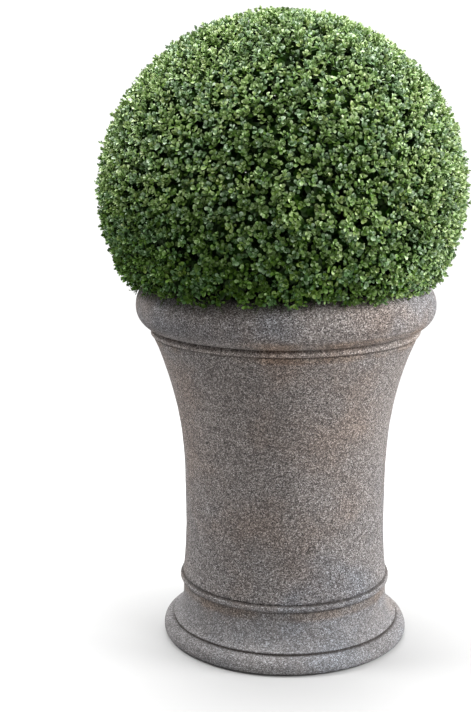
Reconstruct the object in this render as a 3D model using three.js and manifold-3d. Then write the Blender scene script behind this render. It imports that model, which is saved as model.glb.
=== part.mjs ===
// A clipped box ball growing in a waisted stone planter.
// Millimetres, +Z up. The origin is the middle of the planter's flat underside.

import * as THREE from "three";
import { mergeVertices } from "three/addons/utils/BufferGeometryUtils.js";
import Module from "manifold-3d";

const wasm = await Module();
wasm.setup();

// Planter: radii are measured from its axis and heights from the floor.
const pot = {
  baseRadius: 240, // flat underside
  footRadius: 252, // widest line of the foot's roll
  footWidestHeight: 14,
  footGrooveRadius: 233,
  footGrooveHeight: 37,
  neckRadius: 210, // under the bead, where the foot's hollow sweep ends
  neckHeight: 94,
  beadRadius: 216.5,
  beadBottom: 115,
  beadTop: 129,
  barrelRadius: 211, // just above the bead
  barrelHeight: 150, // the inside is straight below this height
  wallTop: 600, // above this height the inside narrows to the mouth
  waistRadius: 203.5,
  waistHeight: 247,
  flareRadius: 266, // under the rim
  flareHeight: 630,
  flarePower: 2.9,
  bandRadius: 272.5, // narrow band between the flare and the rim
  bandTop: 642,
  rimRadius: 300,
  rimWidestHeight: 689,
  rimUnderRadius: 46, // round underside of the rim
  rimTop: 736,
  rimCrestRadius: 262, // highest line of the rim
  mouthRadius: 240,
  mouthRound: 14, // rounding between the crest and the mouth
  mouthFoot: 676, // the mouth is straight above this height
  wall: 34,
  floorThickness: 46,
  floorCorner: 12, // bevel round the inside of the floor
};
const grooveDepth = 3;
const grooveWidth = 5;
const potSegments = 44;
const bodySteps = 11;
const wallSteps = 4;

// Potting mix and the short stem that stands in it.
const gap = 0.3; // clearance between neighbouring solids
const mixTop = 704;
const mixShoulder = 5; // the mix sinks this far at the wall
const stem = {
  footRadius: 34,
  swellRadius: 26,
  neckRadius: 22,
  swellHeight: 14,
  flareHeight: 34,
  tipRadius: 15,
  tipHeight: 856,
  tipBevel: 5,
};
const stemSegments = 16;

// Clipped crown: a ball set a little to one side of the planter's axis.
const crown = {
  centre: new THREE.Vector3(-8, 0, 916),
  radius: 358, // tips of the outermost leaves
  coreRadius: 322, // shaded inside of the crown, where the leaves close up
  coreDetail: 5,
  coreTurn: 0.3, // keeps the core's corners off the other solids' planes
  floor: 738, // flat underside of the core, just above the rim
};

// Limbs inside the crown: boughs, branches and twigs. Each level spreads over the whole
// ball, and each limb starts at the tip of the nearest limb of the level before.
const limbLevels = [
  { count: 9, reach: 0.42, wander: 0.2, footRadius: 13, tipRadius: 9 },
  { count: 44, reach: 0.72, wander: 0.12, footRadius: 8, tipRadius: 6 },
  { count: 148, reach: 0.935, wander: 0.03, footRadius: 6, tipRadius: 4 },
];

// Spray of leaves at the tip of each twig: two crossed pairs, the first one lying flatter.
const leafPairs = [
  { length: 66, width: 50, lean: 82 },
  { length: 56, width: 42, lean: 64 },
];
const leaf = { thickness: 3.2, widestAt: 0.6, ridgeAt: 0.54, cup: 3.5, leanRange: 10 };
const spray = {
  facing: 0.8, // how far a spray turns from its twig's line to face straight out
  centreRise: 4,
  centreDrop: 4,
  notch: 7,
};
const rimClearance = 2;
const clipTolerance = 0.01;
const seed = 20;

// Repeatable random numbers from 0 to 1.
function seededRandom(start) {
  const [multiplier, increment, modulus] = [1664525, 1013904223, 2 ** 32];
  let state = start;
  return () => {
    state = (state * multiplier + increment) % modulus;
    return state / modulus;
  };
}

// Numbers spaced evenly from one value to another, both included.
function evenSteps(from, to, steps) {
  return Array.from({ length: steps + 1 }, (_, i) => from + ((to - from) * i) / steps);
}

// Points of an elliptical arc about (r, z), from one angle to another in degrees.
function arc(r, z, radiusR, radiusZ, from, to, steps) {
  return evenSteps(from, to, steps).map((degrees) => {
    const angle = THREE.MathUtils.degToRad(degrees);
    return [r + radiusR * Math.cos(angle), z + radiusZ * Math.sin(angle)];
  });
}

// Bottom of a small V-shaped groove, with its upper lip.
function groove(radius, height) {
  return [
    [radius - grooveDepth, height],
    [radius, height + grooveWidth / 2],
  ];
}

// Radius of the planter's body at a height above the bead.
function bodyRadius(height) {
  if (height < pot.waistHeight) {
    const down = (pot.waistHeight - height) / (pot.waistHeight - pot.beadTop);
    return pot.waistRadius + (pot.barrelRadius - pot.waistRadius) * down ** 2;
  }
  const up = (height - pot.waistHeight) / (pot.flareHeight - pot.waistHeight);
  return pot.waistRadius + (pot.flareRadius - pot.waistRadius) * up ** pot.flarePower;
}

// Outside of the planter from the underside's edge up to the rim's crest.
function outerProfile() {
  const footTop = pot.footGrooveHeight - grooveWidth / 2;
  const rollRise = footTop - pot.footWidestHeight;
  const beadMiddle = (pot.beadBottom + pot.beadTop) / 2;
  const beadHalf = (pot.beadTop - pot.beadBottom) / 2;
  const bandMiddle = (pot.flareHeight + pot.bandTop) / 2;
  const bandHalf = (pot.bandTop - pot.flareHeight) / 2 - grooveWidth / 4;
  const underStart = THREE.MathUtils.radToDeg(
    Math.asin((pot.bandTop + grooveWidth / 2 - pot.rimWidestHeight) / pot.rimUnderRadius),
  );
  const sweepHeight = pot.neckHeight - pot.footGrooveHeight;
  const sweepWidth = pot.footGrooveRadius - pot.neckRadius;
  const bodyFoot = pot.beadTop + grooveWidth / 2;
  const bodyHeights = evenSteps(bodyFoot, pot.flareHeight - grooveWidth / 2, bodySteps);
  return [
    ...arc(
      pot.baseRadius, pot.footWidestHeight,
      pot.footRadius - pot.baseRadius, pot.footWidestHeight, -90, 0, 3,
    ),
    ...arc(
      pot.footGrooveRadius, pot.footWidestHeight,
      pot.footRadius - pot.footGrooveRadius, rollRise, 30, 90, 2,
    ),
    ...groove(pot.footGrooveRadius, pot.footGrooveHeight),
    // the hollow sweep from the foot up to the neck
    ...arc(
      pot.footGrooveRadius, pot.neckHeight,
      sweepWidth, sweepHeight - grooveWidth, 248, 180, 4,
    ),
    [pot.neckRadius, pot.beadBottom - 1],
    ...arc(pot.neckRadius, beadMiddle, pot.beadRadius - pot.neckRadius, beadHalf, -70, 75, 4),
    [pot.barrelRadius - grooveDepth, pot.beadTop],
    ...bodyHeights.map((height) => [bodyRadius(height), height]),
    [pot.flareRadius - grooveDepth / 2, pot.flareHeight],
    ...arc(pot.flareRadius, bandMiddle, pot.bandRadius - pot.flareRadius, bandHalf, -60, 60, 3),
    [pot.bandRadius - grooveDepth - 1, pot.bandTop],
    ...arc(
      pot.rimRadius - pot.rimUnderRadius, pot.rimWidestHeight,
      pot.rimUnderRadius, pot.rimUnderRadius, underStart, 0, 5,
    ),
    ...arc(
      pot.rimCrestRadius, pot.rimWidestHeight,
      pot.rimRadius - pot.rimCrestRadius, pot.rimTop - pot.rimWidestHeight, 18, 90, 4,
    ),
  ];
}

// Inside of the planter from the foot of the mouth down to its floor, smaller by a margin.
function innerProfile(margin) {
  const wallHeights = evenSteps(pot.wallTop, pot.barrelHeight, wallSteps);
  const wallPoints = wallHeights.map((height) => [bodyRadius(height) - pot.wall - margin, height]);
  const footRadius = bodyRadius(pot.barrelHeight) - pot.wall - margin;
  return [
    [pot.mouthRadius - margin, pot.mouthFoot],
    ...wallPoints,
    [footRadius, pot.floorThickness + pot.floorCorner],
    [footRadius - pot.floorCorner, pot.floorThickness + margin],
  ];
}

// Lathe a profile of [radius, height] pairs round the Z axis.
function latheGeometry(profile, segments) {
  const points = profile.map(([radius, height]) => new THREE.Vector2(radius, height));
  return new THREE.LatheGeometry(points, segments).rotateX(Math.PI / 2);
}

// A closed geometry as a solid that can be joined and cut.
function toSolid(geometry) {
  const bare = geometry.clone();
  bare.deleteAttribute("normal");
  bare.deleteAttribute("uv");
  const merged = mergeVertices(bare, 1e-4);
  return new wasm.Manifold(
    new wasm.Mesh({
      numProp: 3,
      vertProperties: merged.attributes.position.array,
      triVerts: new Uint32Array(merged.index.array),
    }),
  );
}

// A solid back as a geometry.
function toGeometry(solid) {
  const mesh = solid.getMesh();
  const geometry = new THREE.BufferGeometry();
  geometry.setAttribute("position", new THREE.BufferAttribute(mesh.vertProperties, 3));
  geometry.setIndex(new THREE.BufferAttribute(mesh.triVerts, 1));
  return geometry;
}

// Joins a list of solids two by two.
function joinAll(solids) {
  let parts = solids;
  while (parts.length > 1) {
    const joined = [];
    for (let i = 0; i < parts.length; i += 2) {
      joined.push(i + 1 < parts.length ? parts[i].add(parts[i + 1]) : parts[i]);
    }
    parts = joined;
  }
  return parts[0];
}

// The largest body of a solid, without loose scraps and with sealed hollows filled.
function mainBody(solid) {
  return solid.decompose().reduce((best, body) => (body.volume() > best.volume() ? body : best));
}

// Directions spread evenly over a sphere on a golden spiral, each moved a little at random.
function spreadDirections(count, wander, random) {
  const goldenAngle = Math.PI * (3 - Math.sqrt(5));
  const directions = [];
  for (let i = 0; i < count; i++) {
    const height = 1 - (2 * i + 1) / count;
    const around = Math.sqrt(1 - height * height);
    const shift = () => (2 * random() - 1) * wander;
    directions.push(
      new THREE.Vector3(
        around * Math.cos(i * goldenAngle) + shift(),
        around * Math.sin(i * goldenAngle) + shift(),
        height + shift(),
      ).normalize(),
    );
  }
  return directions;
}

function nearestPoint(points, target) {
  return points.reduce((best, point) =>
    point.distanceTo(target) < best.distanceTo(target) ? point : best,
  );
}

// A tapering three-sided twig between two points.
function twigSolid(from, to, footRadius, tipRadius) {
  const length = from.distanceTo(to);
  const geometry = new THREE.CylinderGeometry(tipRadius, footRadius, length, 3);
  const up = new THREE.Vector3(0, 1, 0);
  const along = to.clone().sub(from).normalize();
  geometry.applyQuaternion(new THREE.Quaternion().setFromUnitVectors(up, along));
  const middle = from.clone().lerp(to, 0.5);
  return toSolid(geometry.translate(middle.x, middle.y, middle.z));
}

// Height of the rim's upper surface at a distance from the planter's axis.
function rimHeight(radius) {
  if (radius > pot.rimRadius + rimClearance) return pot.rimWidestHeight;
  const out = (radius - pot.rimCrestRadius) / (pot.rimRadius + rimClearance - pot.rimCrestRadius);
  const drop = 1 - Math.sqrt(1 - Math.max(out, 0) ** 2);
  return pot.rimTop - (pot.rimTop - pot.rimWidestHeight) * drop;
}

// True where a point is inside the crown's ball and clear of the planter's rim.
function isInCrown(point) {
  const aboveRim = point.z > rimHeight(Math.hypot(point.x, point.y)) + rimClearance;
  return aboveRim && point.distanceTo(crown.centre) < crown.radius + clipTolerance;
}

// True where a leaf's corners, and the points halfway between them, are all in the crown.
function leafFits(corners) {
  return corners.every((corner) =>
    corners.every((other) => isInCrown(corner.clone().lerp(other, 0.5))),
  );
}

// A point brought in to the ball's outline, as the shears leave it.
function clipped(point) {
  return point.sub(crown.centre).clampLength(0, crown.radius).add(crown.centre);
}

// Corners of a cupped leaf: right edge, tip, left edge, and its upper and under side.
function leafCorners(base, direction, outward, pair, lean) {
  const along = direction
    .clone()
    .multiplyScalar(Math.cos(lean))
    .addScaledVector(outward, Math.sin(lean));
  const across = new THREE.Vector3().crossVectors(direction, outward);
  const face = new THREE.Vector3().crossVectors(along, across);
  const at = (forward, sideways, lift) =>
    base
      .clone()
      .addScaledVector(along, forward)
      .addScaledVector(across, sideways)
      .addScaledVector(face, lift);
  const widest = pair.length * leaf.widestAt;
  const ridge = pair.length * leaf.ridgeAt;
  return [
    at(widest, -pair.width / 2, leaf.cup),
    clipped(at(pair.length, 0, leaf.cup)),
    at(widest, pair.width / 2, leaf.cup),
    at(ridge, 0, leaf.thickness / 2),
    at(ridge, 0, -leaf.thickness / 2),
  ];
}

// A spray of four leaves as one closed surface. The leaves meet round a small thick centre,
// and a leaf that would leave the crown is left out.
function sprayGeometry(base, direction, random) {
  const spin = random() * Math.PI;
  const side = new THREE.Vector3(1, 0, 0).cross(direction).normalize();
  const points = [
    base.clone().addScaledVector(direction, spray.centreRise),
    base.clone().addScaledVector(direction, -spray.centreDrop),
  ];
  const [centreTop, centreUnder, firstNotch] = [0, 1, 2];
  const quarter = Math.PI / 2;
  for (let i = 0; i < 4; i++) {
    const outward = side.clone().applyAxisAngle(direction, spin + (i + 0.5) * quarter);
    points.push(base.clone().addScaledVector(outward, spray.notch));
  }
  const faces = [];
  for (let i = 0; i < 4; i++) {
    const before = firstNotch + ((i + 3) % 4);
    const after = firstNotch + i;
    const pair = leafPairs[i % 2];
    const lean = THREE.MathUtils.degToRad(pair.lean + (random() - 0.5) * leaf.leanRange);
    const outward = side.clone().applyAxisAngle(direction, spin + i * quarter);
    const corners = leafCorners(base, direction, outward, pair, lean);
    if (!leafFits(corners)) {
      faces.push([before, after, centreTop], [after, before, centreUnder]);
      continue;
    }
    const [right, tip, left, top, under] = corners.map((corner, k) => points.length + k);
    points.push(...corners);
    const outline = [before, right, tip, left, after];
    for (let k = 0; k + 1 < outline.length; k++) {
      faces.push([outline[k], outline[k + 1], top], [outline[k + 1], outline[k], under]);
    }
    faces.push([after, centreTop, top], [centreTop, before, top]);
    faces.push([centreUnder, after, under], [before, centreUnder, under]);
  }
  return new THREE.BufferGeometry().setFromPoints(points).setIndex(faces.flat());
}

// Every limb in the crown, with the leaves on the last level.
function crownSolids() {
  const random = seededRandom(seed);
  const solids = [];
  let starts = [new THREE.Vector3(crown.centre.x, crown.centre.y, stem.tipHeight)];
  limbLevels.forEach((level, depth) => {
    const tips = [];
    for (const direction of spreadDirections(level.count, level.wander, random)) {
      const tip = crown.centre.clone().addScaledVector(direction, crown.radius * level.reach);
      if (!isInCrown(tip)) continue;
      const start = nearestPoint(starts, tip);
      solids.push(twigSolid(start, tip, level.footRadius, level.tipRadius));
      if (depth === limbLevels.length - 1) {
        const along = tip.clone().sub(start).normalize();
        const facing = along.lerp(direction, spray.facing).normalize();
        solids.push(toSolid(sprayGeometry(tip, facing, random)));
      }
      tips.push(tip);
    }
    starts = tips;
  });
  return solids;
}

// Outline of the stem above its foot, grown by a margin.
function stemProfile(margin) {
  return [
    [stem.footRadius + margin, mixTop + gap],
    [stem.swellRadius + margin, mixTop + stem.swellHeight],
    [stem.neckRadius + margin, mixTop + stem.flareHeight],
    [stem.tipRadius + margin, stem.tipHeight - stem.tipBevel + margin],
    [stem.tipRadius - stem.tipBevel + margin, stem.tipHeight + margin],
    [0, stem.tipHeight + margin],
  ];
}

function planterGeometry() {
  return latheGeometry(
    [
      [0, 0],
      ...outerProfile(),
      ...arc(
        pot.rimCrestRadius, pot.rimTop - pot.mouthRound,
        pot.rimCrestRadius - pot.mouthRadius, pot.mouthRound, 120, 180, 2,
      ),
      ...innerProfile(0),
      [0, pot.floorThickness],
    ],
    potSegments,
  );
}

function mixGeometry() {
  return latheGeometry(
    [
      [0, pot.floorThickness + gap],
      ...innerProfile(gap).reverse(),
      [pot.mouthRadius - gap, mixTop - mixShoulder],
      [pot.mouthRadius - gap - mixShoulder * 2, mixTop],
      [0, mixTop],
    ],
    potSegments / 2,
  );
}

function stemGeometry() {
  const profile = [[0, mixTop + gap], ...stemProfile(0)];
  return latheGeometry(profile, stemSegments).translate(crown.centre.x, 0, 0);
}

// Leaves, limbs and core as one body, with a socket that clears the stem.
function crownGeometry() {
  const centre = crown.centre;
  const core = toSolid(
    new THREE.IcosahedronGeometry(crown.coreRadius, crown.coreDetail)
      .rotateX(crown.coreTurn)
      .translate(centre.x, centre.y, centre.z),
  );
  const size = crown.radius * 3;
  const below = toSolid(
    new THREE.BoxGeometry(size, size, size).translate(0, 0, crown.floor - size / 2),
  );
  const socketFoot = mixTop - stem.flareHeight;
  const socketProfile = [
    [0, socketFoot],
    [stem.footRadius + gap, socketFoot],
    ...stemProfile(gap),
  ];
  const socket = toSolid(latheGeometry(socketProfile, stemSegments).translate(centre.x, 0, 0));
  const solidCore = core.subtract(below);
  return toGeometry(mainBody(joinAll([solidCore, ...crownSolids()]).subtract(socket)));
}

const stone = new THREE.MeshStandardMaterial({ color: 0x8d8581, roughness: 0.92, metalness: 0 });
const soil = new THREE.MeshStandardMaterial({ color: 0x33261c, roughness: 1, metalness: 0 });
const bark = new THREE.MeshStandardMaterial({ color: 0x6d6250, roughness: 0.95, metalness: 0 });
const boxGreen = new THREE.MeshStandardMaterial({ color: 0x4f7338, roughness: 0.6, metalness: 0 });

function named(name, geometry, material) {
  const mesh = new THREE.Mesh(geometry, material);
  mesh.name = name;
  return mesh;
}

const topiary = new THREE.Group();
topiary.name = "box_topiary_ball";
topiary.add(
  named("planter", planterGeometry(), stone),
  named("potting_mix", mixGeometry(), soil),
  named("stem", stemGeometry(), bark),
  named("foliage_ball", crownGeometry(), boxGreen),
);

export default topiary;
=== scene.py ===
# A clipped box ball growing in a waisted cast stone planter.
# Metres, +Z up. The origin is the middle of the planter's flat underside.

import math

import bpy
import numpy as np
from mathutils import Matrix


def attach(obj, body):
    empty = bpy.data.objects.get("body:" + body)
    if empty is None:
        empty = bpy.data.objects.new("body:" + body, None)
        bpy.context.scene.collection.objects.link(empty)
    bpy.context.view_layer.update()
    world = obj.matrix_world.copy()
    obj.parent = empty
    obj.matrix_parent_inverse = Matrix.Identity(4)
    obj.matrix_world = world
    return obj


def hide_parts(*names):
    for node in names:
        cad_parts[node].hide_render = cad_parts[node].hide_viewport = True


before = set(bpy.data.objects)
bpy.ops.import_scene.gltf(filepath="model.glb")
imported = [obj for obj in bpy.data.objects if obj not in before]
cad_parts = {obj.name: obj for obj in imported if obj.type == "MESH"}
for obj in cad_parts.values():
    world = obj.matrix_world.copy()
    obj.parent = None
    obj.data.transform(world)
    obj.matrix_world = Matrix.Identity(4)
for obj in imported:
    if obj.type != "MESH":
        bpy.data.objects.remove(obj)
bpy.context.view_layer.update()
print("frame loaded:", ", ".join(sorted(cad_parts)))


# Mesh helpers

def unit(vectors):  # each row scaled to length 1
    return vectors / np.maximum(np.linalg.norm(vectors, axis=-1, keepdims=True), 1e-12)


def ringQuads(rings, sides):  # faces between rings of points that follow each other
    ring, side = np.meshgrid(np.arange(rings - 1), np.arange(sides), indexing="ij")
    here, beside = ring * sides + side, ring * sides + (side + 1) % sides
    return np.stack([here, beside, beside + sides, here + sides], axis=-1).reshape(-1, 4)


def makePiece(name, points, faceLists, material, attributes=None):
    # points is one row per vertex; faceLists holds arrays of faces with as many corners each
    mesh = bpy.data.meshes.new(name)
    corners = np.concatenate([faces.ravel() for faces in faceLists]).astype(np.int32)
    sizes = np.concatenate([np.full(len(faces), faces.shape[1]) for faces in faceLists])
    starts = np.concatenate([[0], np.cumsum(sizes)[:-1]]).astype(np.int32)
    mesh.vertices.add(len(points))
    mesh.vertices.foreach_set("co", np.ascontiguousarray(points, dtype=np.float32).ravel())
    mesh.loops.add(len(corners))
    mesh.loops.foreach_set("vertex_index", corners)
    mesh.polygons.add(len(starts))
    mesh.polygons.foreach_set("loop_start", starts)
    mesh.update(calc_edges=True)
    for key, values in (attributes or {}).items():
        layer = mesh.attributes.new(key, "FLOAT", "POINT")
        layer.data.foreach_set("value", np.ascontiguousarray(values, dtype=np.float32))
    mesh.shade_smooth()
    mesh.materials.append(material)
    piece = bpy.data.objects.new(name, mesh)
    bpy.context.scene.collection.objects.link(piece)
    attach(piece, "root")
    return piece


def waves(points, wavelength, count, seed):
    # Smooth noise from about -1 to 1: a sum of plane waves in random directions
    rng = np.random.default_rng(seed)
    directions = unit(rng.normal(size=(count, 3)))
    lengths = wavelength * rng.uniform(0.7, 1.5, count)
    phases = rng.uniform(0, 2 * np.pi, count)
    angles = points @ (directions / lengths[:, None]).T * 2 * np.pi + phases
    return np.cos(angles).sum(axis=-1) / math.sqrt(count)


# Material helpers

class Wire:  # wraps a socket, so that shader maths reads as plain sums
    def __init__(self, paint, socket):
        self.paint = paint
        self.socket = socket

    def maths(self, operation, *values):
        return self.paint.add("ShaderNodeMath", {"operation": operation}, dict(enumerate(values)))

    def __add__(self, other):
        return self.maths("ADD", self, other)

    def __sub__(self, other):
        return self.maths("SUBTRACT", self, other)

    def __rsub__(self, other):
        return self.maths("SUBTRACT", other, self)

    def __mul__(self, other):
        return self.maths("MULTIPLY", self, other)

    def __pow__(self, other):
        return self.maths("POWER", self, other)

    __radd__ = __add__
    __rmul__ = __mul__

    def size(self):  # the value without its sign
        return self.maths("ABSOLUTE", self)

    def rising(self, low, high):  # 0 below low and 1 above high, with a soft step between them
        return self.paint.add(
            "ShaderNodeMapRange", {"interpolation_type": "SMOOTHSTEP"},
            {"Value": self, "From Min": low, "From Max": high},
        )


class Paint:  # one material and its nodes
    def __init__(self, name):
        self.material = bpy.data.materials.new(name)
        self.material.use_nodes = True
        self.tree = self.material.node_tree
        self.tree.nodes.clear()

    def add(self, kind, settings=None, sockets=None, output=0):
        node = self.tree.nodes.new(kind)
        for key, value in (settings or {}).items():
            if key == "stops":
                ramp = node.color_ramp
                while len(ramp.elements) < len(value):
                    ramp.elements.new(0.5)
                for element, (place, colour) in zip(ramp.elements, value):
                    element.position = place
                    element.color = (*colour, 1.0)
            else:
                setattr(node, key, value)
        for key, value in (sockets or {}).items():
            if isinstance(value, Wire):
                self.tree.links.new(value.socket, node.inputs[key])
            else:
                node.inputs[key].default_value = value
        return None if output is None else Wire(self, node.outputs[output])

    def mix(self, factor, first, second, blend="MIX"):
        colours = [value if isinstance(value, Wire) else (*value, 1.0) for value in (first, second)]
        return self.add(
            "ShaderNodeMix", {"data_type": "RGBA", "blend_type": blend, "clamp_factor": True},
            {0: factor, 6: colours[0], 7: colours[1]}, output=2,
        )

    def tinted(self, amount, colour, by):  # a colour multiplied by another
        return self.mix(amount, colour, by, "MULTIPLY")

    def place(self):  # object coordinates in metres
        return self.add("ShaderNodeTexCoord", output="Object")

    def height(self):
        return self.add("ShaderNodeSeparateXYZ", None, {0: self.place()}, output="Z")

    def aside(self):  # how far to the right of the axis
        return self.add("ShaderNodeSeparateXYZ", None, {0: self.place()}, output="X")

    def noise(self, scale, detail, roughness):
        return self.add(
            "ShaderNodeTexNoise", {"noise_dimensions": "3D"},
            {"Vector": self.place(), "Scale": scale, "Detail": detail, "Roughness": roughness},
        )

    def grains(self, scale):  # one random value from 0 to 1 for each cell
        cells = self.add(
            "ShaderNodeTexVoronoi", {"feature": "F1"},
            {"Vector": self.place(), "Scale": scale}, output="Color",
        )
        return self.add("ShaderNodeSeparateColor", None, {0: cells})

    def bump(self, heights, distance, strength):
        sockets = {"Height": heights, "Distance": distance, "Strength": strength}
        return self.add("ShaderNodeBump", None, sockets, output="Normal")

    def finish(self, sockets):
        shader = self.add("ShaderNodeBsdfPrincipled", None, sockets)
        self.add("ShaderNodeOutputMaterial", None, {"Surface": shader}, output=None)
        return self.material


# Camera

cameraSettings = {
    "place": (0.0, -2.580, 1.112),
    "lens": 65.8,
    "pitchDown": 11.65,  # degrees
    "pan": 2.233,
    "roll": -0.22,
    "clipEnd": 200.0,
}


def placeCamera():
    data = bpy.data.cameras.new("camera")
    data.lens = cameraSettings["lens"]
    data.clip_end = cameraSettings["clipEnd"]
    camera = bpy.data.objects.new("camera", data)
    bpy.context.scene.collection.objects.link(camera)
    turn = (
        Matrix.Rotation(math.radians(cameraSettings["pan"]), 4, "Z")
        @ Matrix.Rotation(math.radians(90 - cameraSettings["pitchDown"]), 4, "X")
        @ Matrix.Rotation(math.radians(cameraSettings["roll"]), 4, "Z")
    )
    camera.matrix_world = Matrix.Translation(cameraSettings["place"]) @ turn
    bpy.context.scene.camera = camera


# Studio: a pale floor, a bright room behind the object and soft lights

studio = {
    "floorRadius": 2.1, "floorSides": 96,
    "floorShade": 0.42, "floorRoughness": 0.9,
    "walls": {  # direction of each bright wall of the room and its brightness
        "back": ((0.0, 1.0, 0.15), 1.32),
        "left": ((-1.0, 0.0, 0.15), 0.68),
        "right": ((1.0, 0.0, 0.15), 1.36),
        "front": ((0.0, -1.0, 0.15), 0.10),
    },
    "wallFade": (0.0, 0.9),  # the cosines where a wall begins and where it is full
    "aim": (0.0, 0.0, 0.75),
    "lamps": {  # place, width and watts
        "lampOver": ((-0.15, 0.80, 4.6), 3.0, 300.0),
        "lampBack": ((0.2, 2.2, 3.2), 1.6, 22.0),
        "lampSide": ((2.95, -0.45, 1.80), 1.8, 138.0),
        "lampFront": ((2.4, -2.0, 2.6), 1.2, 48.0),
        "lampLeft": ((-2.2, -0.15, 3.0), 1.0, 98.0),
    },
}


def makeFloor():
    paint = Paint("floorWhite")
    shade = studio["floorShade"]
    material = paint.finish({
        "Base Color": (shade, shade, shade, 1.0), "Roughness": studio["floorRoughness"],
    })
    angles = np.linspace(0, 2 * np.pi, studio["floorSides"], endpoint=False)
    corners = np.column_stack([np.cos(angles), np.sin(angles), 0 * angles]) * studio["floorRadius"]
    mesh = bpy.data.meshes.new("floor")
    mesh.from_pydata(corners.tolist(), [], [tuple(range(len(corners)))])
    mesh.materials.append(material)
    floor = bpy.data.objects.new("floor", mesh)
    bpy.context.scene.collection.objects.link(floor)


def lightRoom():
    # Each wall's brightness follows a soft step of the cosine between its direction and the view
    world = bpy.data.worlds.new("room")
    bpy.context.scene.world = world
    world.use_nodes = True
    nodes, links = world.node_tree.nodes, world.node_tree.links
    nodes.clear()
    where = nodes.new("ShaderNodeTexCoord")
    total = None
    for direction, bright in studio["walls"].values():
        side = nodes.new("ShaderNodeVectorMath")
        side.operation = "DOT_PRODUCT"
        side.inputs[1].default_value = unit(np.array(direction))
        fade = nodes.new("ShaderNodeMapRange")
        fade.interpolation_type = "SMOOTHSTEP"
        fade.inputs["From Min"].default_value, fade.inputs["From Max"].default_value = studio["wallFade"]
        fade.inputs["To Max"].default_value = bright
        links.new(where.outputs["Generated"], side.inputs[0])
        links.new(side.outputs["Value"], fade.inputs["Value"])
        add = nodes.new("ShaderNodeMath")
        add.inputs[0].default_value = add.inputs[1].default_value = 0.0
        links.new(fade.outputs["Result"], add.inputs[0])
        if total:
            links.new(total, add.inputs[1])
        total = add.outputs[0]
    back = nodes.new("ShaderNodeBackground")
    out = nodes.new("ShaderNodeOutputWorld")
    links.new(total, back.inputs["Strength"])
    links.new(back.outputs["Background"], out.inputs["Surface"])
    bpy.context.scene.view_settings.view_transform = "Standard"


def addAreaLight(name, place, size, power):  # a round lamp that faces the object's middle
    data = bpy.data.lights.new(name, "AREA")
    data.shape = "DISK"
    data.size = size
    data.energy = power
    light = bpy.data.objects.new(name, data)
    bpy.context.scene.collection.objects.link(light)
    back = unit(np.array(place) - np.array(studio["aim"]))
    right = unit(np.cross((0.0, 0.0, 1.0), back))
    up = np.cross(back, right)
    turn = Matrix([[right[i], up[i], back[i]] for i in range(3)]).to_4x4()
    light.matrix_world = Matrix.Translation(place) @ turn


placeCamera()
makeFloor()
lightRoom()
for lampName, (lampPlace, lampWidth, lampWatts) in studio["lamps"].items():
    addAreaLight(lampName, lampPlace, lampWidth, lampWatts)
print("camera, floor and lights set")


# Planter: a profile turned about the vertical axis, with the unevenness of a hand-finished cast

planter = {
    "baseRadius": 0.240, "footRadius": 0.252, "footWidest": 0.014,
    "footGrooveRadius": 0.233, "footGroove": 0.037,
    "neckRadius": 0.210, "neck": 0.094,
    "beadRadius": 0.2165, "beadBottom": 0.115, "beadTop": 0.129,
    "barrelRadius": 0.211, "barrel": 0.150,
    "waistRadius": 0.2035, "waist": 0.247,
    "flareRadius": 0.266, "flare": 0.630, "flarePower": 2.9,
    "bandRadius": 0.2705, "bandTop": 0.642,
    "rimRadius": 0.300, "rimWidest": 0.689, "rimUnder": 0.046,
    "rimTop": 0.736, "rimCrest": 0.262,
    "mouthRadius": 0.240, "mouthRound": 0.014, "mouthFoot": 0.676,
    "wall": 0.034, "wallTop": 0.600, "floorThickness": 0.046, "floorCorner": 0.012,
    "grooveDepth": 0.0026, "grooveWidth": 0.004,
    "segments": 520, "bodyRings": 82, "wallRings": 8,
    "unevenness": 0.0007, "broadWave": 0.22, "fineWave": 0.035, "fineShare": 0.28,
    "trueBelow": 0.004, "trueWithin": 0.191,  # there the cast keeps its true form
}


def arc(r, z, radiusR, radiusZ, start, end, steps):
    # Elliptical arc about (r, z): both coordinates follow the angle's cosine and sine
    angle = np.radians(np.linspace(start, end, steps + 1))
    return np.column_stack([r + radiusR * np.cos(angle), z + radiusZ * np.sin(angle)])


def bodyRadius(height):
    # Above the waist the radius grows with a power of the height, below it with its square
    p = planter
    up = np.clip((height - p["waist"]) / (p["flare"] - p["waist"]), 0, None)
    down = np.clip((p["waist"] - height) / (p["waist"] - p["beadTop"]), 0, None)
    return (
        p["waistRadius"] + (p["flareRadius"] - p["waistRadius"]) * up ** p["flarePower"]
        + (p["barrelRadius"] - p["waistRadius"]) * down ** 2
    )


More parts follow.
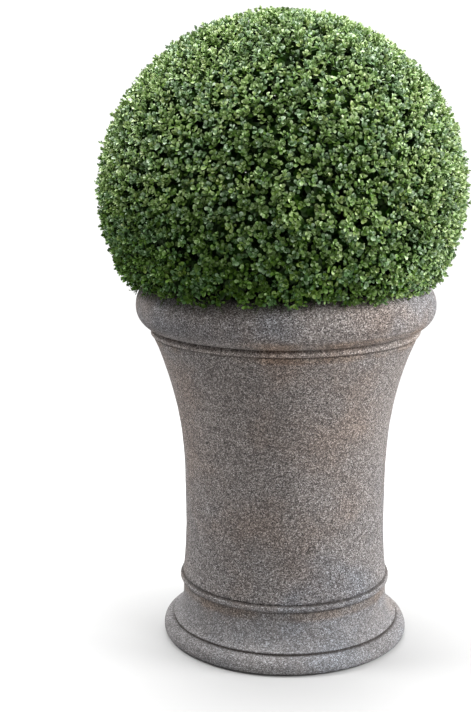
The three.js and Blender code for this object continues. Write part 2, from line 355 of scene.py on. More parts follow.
def planterProfile():
    # Radius and height pairs from the underside's edge over the rim and down to the inside floor
    p = planter
    half = p["grooveWidth"] / 2
    footTop = p["footGroove"] - half
    beadMiddle = (p["beadBottom"] + p["beadTop"]) / 2
    bandMiddle = (p["flare"] + p["bandTop"]) / 2
    underStart = math.degrees(math.asin((p["bandTop"] + half - p["rimWidest"]) / p["rimUnder"]))
    bodyHeights = np.linspace(p["beadTop"] + half, p["flare"] - half, p["bodyRings"])
    wallHeights = np.linspace(p["wallTop"], p["barrel"], p["wallRings"])
    wallFoot = bodyRadius(p["barrel"]) - p["wall"]
    return np.vstack([
        [[p["baseRadius"] * share, 0.0] for share in (0.25, 0.5, 0.75, 0.97)],
        arc(
            p["baseRadius"], p["footWidest"],
            p["footRadius"] - p["baseRadius"], p["footWidest"], -90, 0, 7,
        ),
        arc(
            p["footGrooveRadius"], p["footWidest"],
            p["footRadius"] - p["footGrooveRadius"], footTop - p["footWidest"], 12, 90, 8,
        ),
        [[p["footGrooveRadius"] - p["grooveDepth"] * 0.8, p["footGroove"] - half * 0.4]],
        [[p["footGrooveRadius"] - p["grooveDepth"], p["footGroove"]]],
        arc(
            p["footGrooveRadius"], p["neck"],
            p["footGrooveRadius"] - p["neckRadius"], p["neck"] - p["footGroove"] - half * 2,
            268, 180, 13,
        ),
        [[p["neckRadius"], p["beadBottom"] - 0.006], [p["neckRadius"], p["beadBottom"] - 0.001]],
        arc(
            p["neckRadius"], beadMiddle,
            p["beadRadius"] - p["neckRadius"], (p["beadTop"] - p["beadBottom"]) / 2, -75, 78, 9,
        ),
        [[p["barrelRadius"] - p["grooveDepth"], p["beadTop"]]],
        np.column_stack([bodyRadius(bodyHeights), bodyHeights]),
        [[p["flareRadius"] - p["grooveDepth"] / 2, p["flare"]]],
        arc(
            p["flareRadius"], bandMiddle,
            p["bandRadius"] - p["flareRadius"], (p["bandTop"] - p["flare"]) / 2 - half / 2, -70, 70, 7,
        ),
        [[p["bandRadius"] - p["grooveDepth"] - 0.001, p["bandTop"]]],
        arc(
            p["rimRadius"] - p["rimUnder"], p["rimWidest"],
            p["rimUnder"], p["rimUnder"], underStart, 0, 14,
        ),
        arc(
            p["rimCrest"], p["rimWidest"],
            p["rimRadius"] - p["rimCrest"], p["rimTop"] - p["rimWidest"], 6, 90, 14,
        ),
        arc(
            p["rimCrest"], p["rimTop"] - p["mouthRound"],
            p["rimCrest"] - p["mouthRadius"], p["mouthRound"], 105, 180, 5,
        ),
        [[p["mouthRadius"], p["mouthFoot"]]],
        np.column_stack([bodyRadius(wallHeights) - p["wall"], wallHeights]),
        [[wallFoot, p["floorThickness"] + p["floorCorner"]]],
        [[wallFoot - p["floorCorner"], p["floorThickness"]]],
    ])


def turnedSurface(profile, segments):
    # Each profile row becomes a ring of points; the first and last ring close on points on the axis
    angle = np.linspace(0, 2 * np.pi, segments, endpoint=False)
    radius, height = profile[:, :1], profile[:, 1:]
    rings = np.stack([radius * np.cos(angle), radius * np.sin(angle), height + 0 * angle], axis=-1)
    points = np.vstack([rings.reshape(-1, 3), [[0, 0, profile[0, 1]], [0, 0, profile[-1, 1]]]])
    sides = ringQuads(len(profile), segments)
    here = np.arange(segments)
    beside = (here + 1) % segments
    last = (len(profile) - 1) * segments
    first = np.column_stack([beside, here, np.full(segments, len(points) - 2)])
    final = np.column_stack([here + last, beside + last, np.full(segments, len(points) - 1)])
    return points, [sides, np.vstack([first, final])]


def outwards(points):  # horizontal direction away from the axis
    return unit(points * (1.0, 1.0, 0.0))


stone = {
    "grain": 560.0, "fine": 1150.0, "mottleScale": 55.0, "cloud": 7.0, "patch": 3.1,  # cells in a metre
    "speckle": (  # from the darkest grains to the palest
        (0.0, (0.008, 0.007, 0.007)), (0.20, (0.038, 0.032, 0.030)), (0.34, (0.12, 0.103, 0.094)),
        (0.60, (0.225, 0.194, 0.178)), (0.80, (0.46, 0.415, 0.390)), (1.0, (0.90, 0.86, 0.83)),
    ),
    "mottle": ((0.890, 0.905, 0.915), (1.048, 1.066, 1.078)),
    # Several tones below are painted light and shade: a paler foot, a darker body, a lighter rim, a darker
    # left side of the rim and foot, and a paler band under the rim
    "rust": (0.93, 0.74, 0.60), "cool": (0.80, 0.92, 1.06), "paintedFootLight": (0.215, 0.205, 0.198),
    "lowerBody": (0.975, 1.01, 1.045), "paintedFootTone": (0.90, 0.92, 0.95), "body": (0.70, 0.69, 0.69),
    "rim": (1.14, 1.15, 1.16), "leftShade": (0.74, 0.74, 0.75), "bandPaintedLight": (1.35, 1.32, 1.28),
    "dirtAndShadeColour": (0.16, 0.13, 0.11),
    "zones": {  # heights between which each tone begins and is full
        "foot": (0.06, 0.16), "lowerBody": (0.18, 0.50), "body": (0.02, 0.20), "rim": (0.64, 0.70),
        "coolFoot": (0.10, 0.36), "coolRim": (0.64, 0.69), "leftShadeRim": (0.645, 0.665),
        "bandStart": (0.628, 0.634), "bandEnd": (0.639, 0.645),
    },
    "leftShadeSide": (-0.22, -0.02),  # how far to the left the painted shade is full, and where it ends
    "rustAmount": 0.45, "coolAmounts": (0.55, 0.50, 0.18), "paintedFootLightAmount": 0.25,
    "leftShadeFoot": 0.7, "dirtAndShadeAmount": 0.9, "stainAmount": 0.55,
    "dirtAndShade": (  # dirt and painted shade in the ring lines: height, reach and strength
        (planter["flare"], 0.0035, 0.80), (planter["bandTop"], 0.0030, 0.30),
        (planter["beadTop"], 0.0035, 0.8), (planter["beadBottom"], 0.0045, 0.6),
        # the last row is painted contact shade along the foot's bottom edge
        (planter["footGroove"], 0.0032, 1.3), (0.0, 0.0070, 1.1),
    ),
    "stains": (  # tan and rust-brown water stains about the rings: height, reach and colour; the first, pale one on the rim's shaded underside is also painted light
        (planter["bandTop"] + 0.010, 0.014, (1.22, 1.00, 0.78)),
        (planter["flare"] - 0.006, 0.011, (1.00, 0.78, 0.58)),
        (planter["beadBottom"] - 0.010, 0.015, (0.86, 0.66, 0.48)),
    ),
    "bump": 0.0016, "bumpStrength": 0.55,
}


def castStone():
    # Random grains in fine cells, toned by soft noise, with painted light and shade by height and on the
    # left, dirt and painted shade in the ring lines, and stains at the rings
    paint = Paint("castStone")
    grain = paint.grains(stone["grain"])
    fine = paint.grains(stone["fine"])
    cloud = paint.noise(stone["cloud"], 4.0, 0.55)
    patch = paint.noise(stone["patch"], 3.0, 0.6)
    mottle = paint.noise(stone["mottleScale"], 2.0, 0.6)
    height = paint.height()
    zone = {name: height.rising(*ends) for name, ends in stone["zones"].items()}
    speckle = paint.add(
        "ShaderNodeValToRGB", {"stops": stone["speckle"]}, {0: grain * 0.62 + fine * 0.38},
    )
    warm = paint.tinted(cloud.rising(0.42, 0.68) * stone["rustAmount"], speckle, stone["rust"])
    # Cool patches are strongest near the foot and on the rim
    nearFoot, nearRim, anywhere = stone["coolAmounts"]
    coolness = (1 - zone["coolFoot"]) * nearFoot + zone["coolRim"] * nearRim + anywhere
    cool = paint.tinted(patch.rising(0.46, 0.62) * coolness, warm, stone["cool"])
    # The stone greys towards its foot. Painted light makes the foot paler, painted shade darkens the body
    # above it, and painted light makes the rim lighter
    foot = 1 - zone["foot"]
    greyer = paint.tinted(1 - zone["lowerBody"], cool, stone["lowerBody"])
    paintedFootTone = paint.tinted(foot, greyer, stone["paintedFootTone"])
    paintedFootLight = paint.mix(foot * stone["paintedFootLightAmount"], paintedFootTone, stone["paintedFootLight"])
    paintedBodyShade = paint.tinted(zone["body"], paintedFootLight, stone["body"])
    paintedRimLight = paint.tinted(zone["rim"], paintedBodyShade, stone["rim"])
    # Painted shade darkens the rim and the foot on their left, and painted light makes the band under the
    # rim paler
    left = 1 - paint.aside().rising(*stone["leftShadeSide"])
    leftShaded = paint.tinted(left * (zone["leftShadeRim"] + foot * stone["leftShadeFoot"]), paintedRimLight, stone["leftShade"])
    # painted light: the band in the shadow of the rim's overhang is made paler
    band = paint.tinted(zone["bandStart"] - zone["bandEnd"], leftShaded, stone["bandPaintedLight"])
    tone = paint.tinted(1.0, band, paint.mix(mottle.rising(0.3, 0.7), *stone["mottle"]))
    dirtAndShade = 0
    for level, reach, strength in stone["dirtAndShade"]:
        near = 1 - (height - level).size().rising(reach * 0.25, reach)
        dirtAndShade = near * (cloud * 0.7 + 0.5) * strength + dirtAndShade
    stained = paint.tinted(dirtAndShade.rising(0.0, 1.0) * stone["dirtAndShadeAmount"], tone, stone["dirtAndShadeColour"])
    for level, reach, colour in stone["stains"]:
        near = 1 - (height - level).size().rising(reach * 0.3, reach)
        stained = paint.tinted(near * cloud.rising(0.34, 0.62) * stone["stainAmount"], stained, colour)
    relief = grain * 0.5 + fine * 0.35 + mottle * 0.9
    pits = grain.rising(0.0, 0.1)
    return paint.finish({
        "Base Color": stained, "Roughness": grain * 0.12 + 0.8, "Specular IOR Level": 0.35,
        "Normal": paint.bump(relief + pits * 0.7, stone["bump"], stone["bumpStrength"]),
    })


def makePlanter():
    # Two sizes of noise move the surface a little in or out along the horizontal from the axis
    points, faces = turnedSurface(planterProfile(), planter["segments"])
    radius = np.hypot(points[:, 0], points[:, 1])
    uneven = (points[:, 2] > planter["trueBelow"]) & (radius > planter["trueWithin"])
    broad = waves(points, planter["broadWave"], count=14, seed=31)
    fine = waves(points, planter["fineWave"], count=18, seed=32)
    depth = (broad * planter["unevenness"] + fine * planter["unevenness"] * planter["fineShare"]) * uneven
    points = points + outwards(points) * depth[:, None]
    piece = makePiece("planterShell", points, faces, castStone())
    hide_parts("planter")


makePlanter()
print("planter turned")


# Potting mix and stem

mix = {
    "top": 0.704, "shoulder": 0.005, "gap": 0.0003, "segments": 160, "topRings": 48,
    "lumps": 0.0022, "lumpLimit": 1.4, "fineLumps": 0.012, "broadLumps": 0.03,
    "crumbs": 260.0, "crumbColours": ((0.012, 0.008, 0.005), (0.062, 0.036, 0.020)),
    "dampColour": (0.02, 0.013, 0.009),
}
stem = {
    "axis": -0.008, "footRadius": 0.034, "swellRadius": 0.026, "swell": 0.014, "neckRadius": 0.022,
    "flare": 0.034, "tipRadius": 0.015, "tip": 0.856, "tipBevel": 0.005,
    "segments": 72, "rings": 90, "ridge": 0.0012, "ridgeWave": 0.5, "ridgeDrawn": 6.0,
    "barkColours": ((0.035, 0.024, 0.016), (0.150, 0.112, 0.076)),
    "mossColour": (0.115, 0.110, 0.088),
    "greenColours": ((0.018, 0.030, 0.006), (0.060, 0.088, 0.022)),
}


def pottingMix():
    paint = Paint("pottingMix")
    crumbs = paint.grains(mix["crumbs"])
    damp = paint.noise(30.0, 4.0, 0.6)
    brown = paint.mix(crumbs, *mix["crumbColours"])
    shade = paint.mix(damp.rising(0.4, 0.6), brown, mix["dampColour"])
    return paint.finish({
        "Base Color": shade, "Roughness": 0.95, "Normal": paint.bump(crumbs + damp, 0.003, 0.8),
    })


def boxBark():
    paint = Paint("boxBark")
    ridges = paint.noise(160.0, 4.0, 0.65)
    moss = paint.noise(38.0, 2.0, 0.5)
    brown = paint.mix(ridges.rising(0.35, 0.65), *stem["barkColours"])
    grey = paint.mix(moss.rising(0.5, 0.65) * 0.5, brown, stem["mossColour"])
    return paint.finish({
        "Base Color": grey, "Roughness": 0.92, "Normal": paint.bump(ridges, 0.0015, 0.7),
    })


def greenShoot():
    paint = Paint("greenShoot")
    streaks = paint.noise(220.0, 3.0, 0.6)
    green = paint.mix(streaks.rising(0.35, 0.65), *stem["greenColours"])
    return paint.finish({
        "Base Color": green, "Roughness": streaks * 0.2 + 0.6, "Specular IOR Level": 0.25,
    })


def makePottingMix():
    # The open surface sinks with the eighth power of the radius, and two sizes of noise make its lumps
    p = planter
    heights = np.linspace(p["barrel"], p["wallTop"], p["wallRings"])
    wall = np.column_stack([bodyRadius(heights) - p["wall"] - mix["gap"], heights])
    foot = bodyRadius(p["barrel"]) - p["wall"] - mix["gap"]
    edge = p["mouthRadius"] - mix["gap"]
    surface = mix["top"] - mix["lumps"] * 1.5
    profile = np.vstack([
        [[(foot - p["floorCorner"]) * share, p["floorThickness"] + mix["gap"]] for share in (0.5, 1.0)],
        [[foot, p["floorThickness"] + p["floorCorner"]]],
        wall,
        [[edge, p["mouthFoot"]], [edge, mix["top"] - mix["shoulder"] * 1.6]],
        [
            [edge * share, surface - mix["shoulder"] * share ** 8]
            for share in np.linspace(0.98, 0.03, mix["topRings"])
        ],
    ])
    points, faces = turnedSurface(profile, mix["segments"])
    top = points[:, 2] > mix["top"] - mix["shoulder"] * 1.9
    fine = waves(points, mix["fineLumps"], count=16, seed=41)
    broad = waves(points, mix["broadLumps"], count=10, seed=42)
    lumps = np.clip((fine + broad) / 2, -mix["lumpLimit"], mix["lumpLimit"])
    points[:, 2] += lumps * mix["lumps"] * top
    piece = makePiece("mixFill", points, faces, pottingMix())
    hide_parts("potting_mix")


def makeStem(material):
    s = stem
    base = mix["top"] + mix["gap"]
    corners = np.array([
        [s["footRadius"], base], [s["swellRadius"], mix["top"] + s["swell"]],
        [s["neckRadius"], mix["top"] + s["flare"]], [s["tipRadius"], s["tip"] - s["tipBevel"]],
        [s["tipRadius"] - s["tipBevel"], s["tip"]],
    ])
    heights = np.linspace(base, s["tip"], s["rings"])
    profile = np.column_stack([np.interp(heights, corners[:, 1], corners[:, 0]), heights])
    points, faces = turnedSurface(profile, s["segments"])
    # The bark's ridges are the noise's size at each direction from the axis, drawn out along the stem
    angle = np.arctan2(points[:, 1], points[:, 0])
    swirl = np.column_stack([np.cos(angle), np.sin(angle), points[:, 2] * s["ridgeDrawn"]])
    ridges = np.abs(waves(swirl, s["ridgeWave"], count=16, seed=51)) * s["ridge"]
    points = points - outwards(points) * ridges[:, None]
    piece = makePiece("stemBark", points + (s["axis"], 0, 0), faces, material)
    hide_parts("stem")


bark = boxBark()
youngBark = greenShoot()
makePottingMix()
makeStem(bark)
print("potting mix and stem made")


# Limbs of the crown. The first three levels follow the part's own rule: each level's tips spread
# over the ball on a golden spiral, and each limb starts from the nearest tip of the level before.
# Two finer levels carry on in the same way, from points along the limbs before.

crown = {
    "centre": (-0.008, 0.0, 0.916), "radius": 0.358, "rimClearance": 0.0015, "seed": 20,
    "levels": [
        {
            "name": "boughs", "count": 9, "reach": 0.42, "wander": 0.2,
            "foot": 0.013, "tip": 0.008, "sides": 10, "rings": 9, "bow": 0.05, "bowSeed": 60,
        },
        {
            "name": "branches", "count": 44, "reach": 0.72, "wander": 0.12,
            "foot": 0.0065, "tip": 0.004, "sides": 8, "rings": 7, "bow": 0.05, "bowSeed": 61,
        },
        {
            "name": "twigs", "count": 148, "reach": 0.87, "wander": 0.03,
            "foot": 0.0035, "tip": 0.0020, "sides": 6, "rings": 5, "bow": 0.05, "bowSeed": 62,
        },
    ],
    "twiglets": {
        "name": "twiglets", "count": 2300, "reach": 0.915, "wander": 0.02,
        "foot": 0.0016, "tip": 0.0010, "sides": 4, "rings": 4, "bow": 0.06, "bowSeed": 72,
        "seed": 71,
    },
    "shoots": {
        "name": "shoots", "count": 9600, "reach": 0.973, "wander": 0.022,
        "foot": 0.0008, "tip": 0.0005, "sides": 3, "rings": 2, "bow": 0.0, "bowSeed": 75,
        "seed": 73,
    },
    "sunk": 0.012,  # the boughs start this far below the stem's tip
    "twigForks": (0.45, 0.65, 0.85, 1.0),  # where along the limbs finer ones can start
    "twigletForks": (0.35, 0.6, 0.8, 1.0),
    "twigletLength": 0.030, "shootLength": 0.024,
    "shootRange": 0.0064,  # how evenly the shoots are clipped, as a share of the radius
    "hollowSize": 0.075, "hollowStart": 0.80, "hollowDepth": 0.050, "hollowThin": 0.75, "hollowSeed": 74,
    "proudShare": 0.05, "proud": 0.011,  # a few shoots stand out of the outline
    "lowest": 0.728, "ragged": 0.006,  # the crown's lower edge over the rim
    "sideSwell": 0.025, "topFlat": 0.026,  # how far the clipped outline departs from a true ball
    "upward": 0.45,  # how much the shoots turn up
}
centre = np.array(crown["centre"])


def spiralDirections(level, numbers):
    # Heights spaced evenly from pole to pole, each turned by the golden angle, then moved at random
    order = np.arange(level["count"])
    height = 1 - (2 * order + 1) / level["count"]
    around = np.sqrt(1 - height ** 2)
    angle = order * math.pi * (3 - math.sqrt(5))
    even = np.column_stack([around * np.cos(angle), around * np.sin(angle), height])
    return unit(even + numbers * level["wander"])


def sourceNumbers(count):
    # The part's repeatable random numbers
    multiplier, increment, modulus = 1664525, 1013904223, 2 ** 32
    state, numbers = crown["seed"], []
    for _ in range(count):
        state = (state * multiplier + increment) % modulus
        numbers.append(state / modulus)
    return np.array(numbers)


def rimHeight(radius):
    # The rim's upper side is a quarter ellipse from its crest out to its widest line
    p = planter
    out = np.clip((radius - p["rimCrest"]) / (p["rimRadius"] - p["rimCrest"]), 0, 1)
    return np.where(
        radius > p["rimRadius"], p["rimWidest"],
        p["rimTop"] - (p["rimTop"] - p["rimWidest"]) * (1 - np.sqrt(1 - out ** 2)),
    )


def clearOfRim(points, margin):  # whether each point lies over the rim by more than the margin
    return points[..., 2] > rimHeight(np.hypot(points[..., 0], points[..., 1])) + margin


def lowerEdge(points):
    # The height of the crown's lower edge is its lowest level and three cosines of the angle round it
    angle = np.arctan2(points[..., 1], points[..., 0])
    wave = np.cos(5 * angle + 1.0) + np.cos(11 * angle + 2.0) + np.cos(23 * angle)
    return crown["lowest"] + crown["ragged"] * wave / 2


def nearestRow(points, targets):  # index of the point nearest to each target, in blocks to save memory
    blocks = np.array_split(targets, max(1, len(targets) // 500))
    return np.concatenate([
        np.argmin(((block[:, None] - points[None]) ** 2).sum(axis=2), axis=1) for block in blocks
    ])


def ballShape(directions):
    # The radius swells at the ball's sides, falling off with the height's square, and shrinks evenly
    # with the height over the ball's middle
    up = directions[..., 2]
    return 1 + crown["sideSwell"] * (1 - up ** 2) - crown["topFlat"] * np.clip(up, 0, 1)


def fitting(directions, reach):  # tips on a shell of the ball, without those that the rim stops
    tips = centre + directions * np.reshape(crown["radius"] * reach, (-1, 1))
    kept = clearOfRim(tips, crown["rimClearance"])
    return tips[kept], directions[kept]


def limbTubes(starts, tips, level, material):
    # Each limb runs from start to tip with a sideways bow of half a sine wave, and tapers evenly
    rng = np.random.default_rng(level["bowSeed"])
    rings, bow = level["rings"], level["bow"]
    along = tips - starts
    length = np.linalg.norm(along, axis=1)
    first = unit(np.cross(along, rng.normal(size=along.shape)))
    second = unit(np.cross(along, first))
    share = np.linspace(0, 1, rings)[None, :, None]
    sag = (rng.uniform(-bow, bow, len(starts)) * length)[:, None, None]
    line = starts[:, None] + along[:, None] * share + first[:, None] * sag * np.sin(np.pi * share)
    angle = np.linspace(0, 2 * np.pi, level["sides"], endpoint=False)[:, None]
    ring = first[:, None] * np.cos(angle) + second[:, None] * np.sin(angle)
    radius = level["foot"] + (level["tip"] - level["foot"]) * share[..., None]
    points = (line[:, :, None] + ring[:, None] * radius).reshape(-1, 3)
    each = rings * level["sides"]
    offsets = (np.arange(len(starts)) * each)[:, None]
    quads = (ringQuads(rings, level["sides"]).reshape(1, -1) + offsets).reshape(-1, 4)
    foot = np.arange(level["sides"])[::-1] + offsets
    end = np.arange(each - level["sides"], each) + offsets
    return makePiece(level["name"], points, [quads, np.vstack([foot, end])], material)


def forksAlong(starts, tips, shares):  # points along the limbs from which finer limbs can start
    return np.concatenate([starts + (tips - starts) * share for share in shares])


def growCrown():
    levels = crown["levels"]
    numbers = 2 * sourceNumbers(3 * sum(level["count"] for level in levels)).reshape(-1, 3) - 1
    tips = np.array([[crown["centre"][0], crown["centre"][1], stem["tip"] - crown["sunk"]]])
    pieces, limbs = [], []
    for level in levels:
        own, numbers = numbers[:level["count"]], numbers[level["count"]:]
        parents = tips
        tips, directions = fitting(spiralDirections(level, own), level["reach"])
        starts = parents[nearestRow(parents, tips)]
        pieces.append(limbTubes(starts, tips, level, bark))
        limbs.append((starts, tips))
    forks = forksAlong(starts, tips, crown["twigForks"])

    level = crown["twiglets"]
    numbers = np.random.default_rng(level["seed"]).uniform(-1, 1, (level["count"], 3))
    tips, directions = fitting(spiralDirections(level, numbers), level["reach"])
    starts = forks[nearestRow(forks, tips - directions * crown["twigletLength"])]
    pieces.append(limbTubes(starts, tips, level, youngBark))
    limbs.append((starts, tips))
    forks = forksAlong(starts, tips, crown["twigletForks"])

    # The outline has shallow hollows with fewer and shorter shoots, and a few shoots that stand out
    level = crown["shoots"]
    count = level["count"]
    rng = np.random.default_rng(level["seed"])
    directions = spiralDirections(level, rng.uniform(-1, 1, (count, 3)))
    swells = waves(directions * crown["radius"], crown["hollowSize"], 24, crown["hollowSeed"])
    hollow = np.clip(swells - crown["hollowStart"], 0, 1)
    kept = rng.uniform(size=count) > hollow * crown["hollowThin"]
    reach = level["reach"] + rng.normal(0, crown["shootRange"], count) - hollow * crown["hollowDepth"]
    proud = (rng.uniform(size=count) < crown["proudShare"]) * crown["proud"]
    reach = (reach + proud) * ballShape(directions)
    tips, directions = fitting(directions[kept], reach[kept])
    growth = unit(directions + (0, 0, crown["upward"]))
    starts = forks[nearestRow(forks, tips - growth * crown["shootLength"])]
    pieces.append(limbTubes(starts, tips, level, youngBark))
    return pieces, limbs[::-1], (starts, tips, directions)


# Leaves: crossed pairs along the end of each shoot, spoon-shaped, with a pale rim

leaf = {
    "length": 0.0102, "width": 0.0071,
    "pairBack": (0.0, 0.0038, 0.0088, 0.0145),  # how far below the tip each pair sits
    "pairLean": (18.0, 40.0, 56.0, 70.0),
    "pairSize": (0.62, 0.92, 1.0, 1.0),
    "pairDarker": 0.24,  # painted shade, with older leaves lower down: each pair is this much darker than the one above it
    "leanSpread": 15.0, "turnSpread": 20.0, "sizeSpread": 0.14,
    "widths": (0.88, 1.08), "cups": (0.06, 0.30), "curls": (-0.18, 0.20),
    "facingSpread": 0.20, "facingUp": 0.25, "rankSeed": 81, "seed": 82,
    # Half of each outline and the ribs: along, across and how pale the leaf is there
    "outline": (
        (0.0, 0.0, 0.0), (0.34, 0.22, 0.40), (0.66, 0.50, 0.90), (0.90, 0.36, 1.0), (1.0, 0.0, 1.0),
    ),
    "ribs": ((0.45, 0.0, 0.45), (0.76, 0.0, 0.85)),
    "innerOutline": ((0.0, 0.0, 0.0), (0.4, 0.46, 0.5), (0.85, 0.42, 1.0), (1.0, 0.0, 1.0)),
    "innerRibs": ((0.55, 0.0, 0.0),),
    "topLimit": 0.3690,  # a leaf's greatest distance from the centre, before the ball's swell
    "innerLimit": 0.3350,  # the same for the shaded leaves inside
    "edgeSpread": 0.003,  # unevenness of the crown's lower edge
    "agedAndShadedShare": 0.4,  # of each shoot's lowest leaves, which are of the two darkest kinds, for older leaves and as painted shade deep in the crown
}

leafKinds = {  # from the darkest to the lightest
    "leavesDeep": {"share": 0.19, "shade": (0.104, 0.196, 0.030), "sheen": 0.42},
    "leavesGrey": {"share": 0.28, "shade": (0.152, 0.290, 0.106), "sheen": 0.84},
    "leavesMid": {"share": 0.29, "shade": (0.178, 0.334, 0.060), "sheen": 0.86},
    "leavesOlive": {"share": 0.07, "shade": (0.214, 0.326, 0.058), "sheen": 0.74},
    "leavesYoung": {"share": 0.18, "shade": (0.210, 0.354, 0.060), "sheen": 0.86},
}
shadePlace = {  # Rank picks a shoot's kind, and tint the lightness of its leaves within the kind
    # towards is where the light comes from: rank and tint rise towards it and at the ball's sides as
    # painted light, and fall underneath as painted shade
    "towards": (0.30, -0.15, 0.92), "middle": 0.20, "rank": 0.14, "tint": 0.19,
    "underStart": 0.20, "underShadeRank": 0.60, "underShadeTint": 1.00,
    "sideLightRank": 0.14, "sideLightTint": 0.25,
    "patchSize": 0.10, "patchRank": 0.34, "patchSeed": 83,
    "tintSpread": 0.60, "tintLow": 0.55, "tintTop": 0.95,
}
shadedLook = {
    "shade": (0.022, 0.066, 0.004), "sheen": 0.2, "facingSpread": 0.35, "facingSeed": 84, "seed": 86,
}
innerLeaves = (  # for each level of limbs, from the finest: how far back each pair sits, its lean and size
    {
        "backs": (0.0, 0.006, 0.012, 0.018, 0.024, 0.031, 0.038, 0.046, 0.056),
        "leans": (45, 60, 70, 78, 84, 88, 92, 92, 92), "size": 2.3,
    },
    {"backs": 0.009 * np.arange(12), "leans": (50, 60, 70) + (85,) * 9, "size": 4.2},
    {"backs": 0.014 * np.arange(9), "leans": (45, 60, 75) + (85,) * 6, "size": 5.0},
    {"backs": 0.005 * np.arange(28), "leans": (60, 75) + (85,) * 26, "size": 5.5},
)
leafLook = {
    "stalk": (0.16, 0.28, 0.05),  # what is left of the kind's colour in the darkest leaves
    # pale is a grey painted sheen, added to each kind's light tip colour in step with its sheen
    "darkRim": 0.62, "lightRim": 1.10, "pale": (0.272, 0.204, 0.276),
    "rimPower": 1.3, "tintPower": 1.4,
    "coatRim": 0.80, "coatBody": 0.45, "coatPower": 3, "coat": 1.5, "coatRoughness": 0.46,
    "roughness": 0.48, "roughnessTint": 0.12, "specular": 0.06,
}


def leafPaint(name, shade, sheen):
    # A leaf is deep green at its stalk and paler and greyer towards its tip, the more so the higher its
    # tint, which carries painted light. The paler tip is partly the leaf's own margin and partly painted
    # sheen: the grey pale, added in step with the kind's sheen. The waxy coat grows with the tint's cube.
    look = leafLook
    paint = Paint(name)
    rim = paint.add("ShaderNodeAttribute", {"attribute_name": "rim"}, output="Fac")
    tint = paint.add("ShaderNodeAttribute", {"attribute_name": "tint"}, output="Fac")
    deep = tuple(value * part for value, part in zip(shade, look["stalk"]))
    dark = tuple(value * look["darkRim"] for value in shade)
    # painted sheen: the light tip colour adds the grey pale in step with the sheen
    light = tuple(value * look["lightRim"] + part * sheen for value, part in zip(shade, look["pale"]))
    body = paint.mix(tint, deep, shade)
    edge = paint.mix(tint ** look["tintPower"], dark, light)
    waxy = rim * look["coatRim"] + look["coatBody"]
    gloss = waxy * tint ** look["coatPower"] * (sheen * look["coat"])
    return paint.finish({
        "Base Color": paint.mix(rim ** look["rimPower"], body, edge),
        "Roughness": tint * look["roughnessTint"] + look["roughness"],
        "Specular IOR Level": sheen * look["specular"],
        "Coat Weight": gloss.maths("MINIMUM", gloss, 1.0), "Coat Roughness": look["coatRoughness"],
    })


def leafTemplate(outline, ribs):
    # Points go round the outline from the stalk, then up the rib
    right = [(u, -v, pale) for u, v, pale in outline[1:-1]]
    left = [(u, v, pale) for u, v, pale in reversed(outline[1:-1])]
    corners = np.array([outline[0], *right, outline[-1], *left, *ribs])
    if len(ribs) == 2:  # ten faces, for the leaves that show
        faces = [
            (0, 1, 8), (1, 2, 8), (2, 9, 8), (2, 3, 9), (3, 4, 9),
            (4, 5, 9), (5, 6, 9), (6, 8, 9), (6, 7, 8), (7, 0, 8),
        ]
    else:  # six faces round one point, for the shaded ones
        faces = [(i, (i + 1) % 6, 6) for i in range(6)]
    return corners, np.array(faces)


outerTemplate = leafTemplate(leaf["outline"], leaf["ribs"])
innerTemplate = leafTemplate(leaf["innerOutline"], leaf["innerRibs"])


def leafPoints(template, base, forward, face, length, width, cup, curl):
    # The blade rises with the square of the distance from its rib, and curls with the square along it
    along, across = template[0][:, 0], template[0][:, 1]
    side = np.cross(face, forward)
    lift = (width * cup)[:, None] * (2 * across) ** 2 + (length * curl)[:, None] * along ** 2
    return (
        base[:, None]
        + forward[:, None] * (length[:, None] * along)[..., None]
        + side[:, None] * (width[:, None] * across)[..., None]
        + face[:, None] * lift[..., None]
    )


def leafPiece(name, template, points, tint, material):
    # The template's faces are repeated for each leaf, and its points carry their rim and tint
    corners, faces = template
    each = points.shape[1]
    offsets = (np.arange(len(points)) * each)[:, None, None]
    allFaces = (faces[None] + offsets).reshape(-1, 3)
    return makePiece(
        name, points.reshape(-1, 3), [allFaces], material,
        {"rim": np.tile(corners[:, 2], len(points)), "tint": np.repeat(tint, each)},
    )


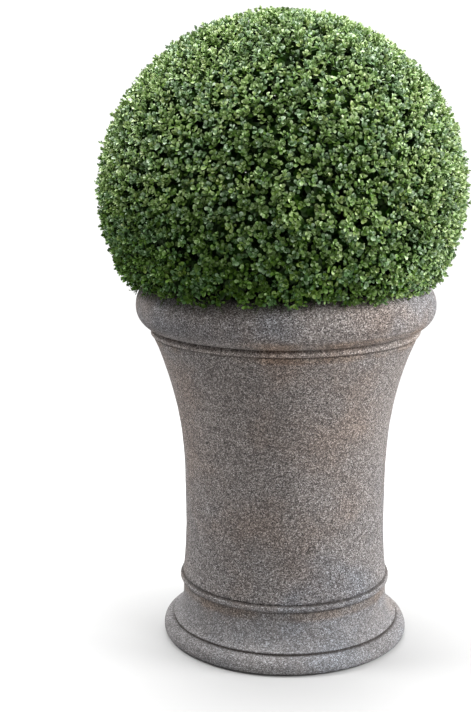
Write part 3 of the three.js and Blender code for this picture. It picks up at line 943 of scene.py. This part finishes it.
def leavesOn(template, starts, tips, facing, seed, backs, leans, sizes, limit):
    # Leaves stand in crossed pairs: each pair is turned a right angle from the one above it. A leaf
    # leans away from the shoot by its pair's angle, and its face turns with it.
    rng = np.random.default_rng(seed)
    shoots, pairs = len(tips), len(backs)
    shape = (shoots, pairs, 2)
    axis = facing[:, None, None]
    first = unit(np.cross(facing, rng.normal(size=facing.shape)))[:, None, None]
    second = np.cross(axis, first)
    turn = (
        rng.uniform(0, 2 * np.pi, shoots)[:, None, None]
        + np.arange(pairs)[None, :, None] * np.pi / 2 + np.arange(2)[None, None, :] * np.pi
        + np.radians(rng.normal(0, leaf["turnSpread"], shape))
    )[..., None]
    out = first * np.cos(turn) + second * np.sin(turn)
    lean = np.array(leans)[None, :, None] + rng.normal(0, leaf["leanSpread"], shape)
    lean = np.radians(lean)[..., None]
    forward = axis * np.cos(lean) + out * np.sin(lean)
    face = axis * np.sin(lean) - out * np.cos(lean)
    size = np.array(sizes)[None, :, None] * (1 + rng.normal(0, leaf["sizeSpread"], shape))
    back = np.array(backs)[None, :, None, None]
    base = tips[:, None, None] - unit(tips - starts)[:, None, None] * back + 0 * forward
    length = leaf["length"] * size
    width = leaf["width"] * size * rng.uniform(*leaf["widths"], shape)
    cup = rng.uniform(*leaf["cups"], shape)
    curl = rng.uniform(*leaf["curls"], shape)
    points = leafPoints(
        template, base.reshape(-1, 3), forward.reshape(-1, 3), face.reshape(-1, 3),
        length.ravel(), width.ravel(), cup.ravel(), curl.ravel(),
    )
    tint = rng.uniform(size=shape)
    shootRow = np.broadcast_to(np.arange(shoots)[:, None, None], shape).ravel()
    pairRow = np.broadcast_to(np.arange(pairs)[None, :, None], shape).ravel()
    offset = points - centre
    reach = (np.linalg.norm(offset, axis=2) / ballShape(unit(offset))).max(axis=1)
    uneven = rng.uniform(-leaf["edgeSpread"], leaf["edgeSpread"], len(points))
    low = (points[..., 2] - lowerEdge(points)).min(axis=1) + uneven
    kept = (reach < limit) & (low > 0) & clearOfRim(points, crown["rimClearance"]).all(axis=1)
    return points[kept], tint.ravel()[kept], shootRow[kept], pairRow[kept]


def outerLeaves(starts, tips, directions):
    # A shoot's rank is a random number, higher in a soft patch, higher where the shoot faces the light or
    # stands at the sides as painted light, and lower underneath as painted shade. The tint follows the
    # light in the same way as painted light and shade, and falls from each pair to the one below it as
    # painted shade.
    place = shadePlace
    rng = np.random.default_rng(leaf["rankSeed"])
    turned = (unit(tips - starts) + directions) / 2
    spread = rng.normal(0, leaf["facingSpread"], tips.shape)
    points, tint, shootRow, pairRow = leavesOn(
        outerTemplate, starts, tips, unit(turned + spread + (0, 0, leaf["facingUp"])), leaf["seed"],
        leaf["pairBack"], leaf["pairLean"], leaf["pairSize"], leaf["topLimit"],
    )
    sunny = directions @ unit(np.array(place["towards"])) - place["middle"]
    patches = waves(directions * crown["radius"], place["patchSize"], 24, place["patchSeed"])
    underShade = np.minimum(sunny + place["underStart"], 0)
    side = directions[:, 0] ** 2
    rank = (
        rng.uniform(size=len(tips)) + patches * place["patchRank"] + sunny * place["rank"]
        + underShade * place["underShadeRank"] + side * place["sideLightRank"]
    )
    shares = np.cumsum([kind["share"] for kind in leafKinds.values()])
    kindOfShoot = np.minimum(np.searchsorted(shares / shares[-1], rank), len(shares) - 1)
    kindOfLeaf = kindOfShoot[shootRow]
    lowest = pairRow == len(leaf["pairBack"]) - 1
    agedAndShaded = lowest & (rng.uniform(size=len(kindOfLeaf)) < leaf["agedAndShadedShare"])
    kindOfLeaf[agedAndShaded] = rng.integers(0, 2, agedAndShaded.sum())
    # painted light and shade in the tint: higher towards the light and at the sides, lower underneath
    paintedLight = sunny * place["tint"] + underShade * place["underShadeTint"] + side * place["sideLightTint"]
    tint = tint * place["tintSpread"] + place["tintLow"] + paintedLight[shootRow] - pairRow * leaf["pairDarker"]
    return points, np.clip(tint, 0, place["tintTop"]), kindOfLeaf


def shadedLeaves(limbs):
    # Larger dark leaves stand in pairs down the limbs of each level, and fill the inside with shade
    look, made = shadedLook, []
    for number, ((starts, tips), kind) in enumerate(zip(limbs, innerLeaves)):
        rng = np.random.default_rng(look["facingSeed"] + number)
        facing = unit(unit(tips - starts) + rng.normal(0, look["facingSpread"], tips.shape))
        sizes = (kind["size"],) * len(kind["backs"])
        made.append(leavesOn(
            innerTemplate, starts, tips, facing, look["seed"] + number,
            kind["backs"], kind["leans"], sizes, leaf["innerLimit"],
        ))
    return [np.concatenate([part[column] for part in made]) for column in (0, 1)]


def makeLeaves(pieces, limbs, shoots):
    points, tint, kindOfLeaf = outerLeaves(*shoots)
    for number, (name, kind) in enumerate(leafKinds.items()):
        chosen = kindOfLeaf == number
        material = leafPaint(name, kind["shade"], kind["sheen"])
        pieces.append(leafPiece(name, outerTemplate, points[chosen], tint[chosen], material))
        print(name, int(chosen.sum()))
    points, tint = shadedLeaves(limbs)
    material = leafPaint("leavesInner", shadedLook["shade"], shadedLook["sheen"])
    pieces.append(leafPiece("leavesInner", innerTemplate, points, tint, material))
    print("leavesInner", len(points))


crownPieces, crownLimbs, outerShoots = growCrown()
print("limbs grown")
makeLeaves(crownPieces, crownLimbs, outerShoots)
for piece in crownPieces:
    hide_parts("foliage_ball")
print("leaves made")
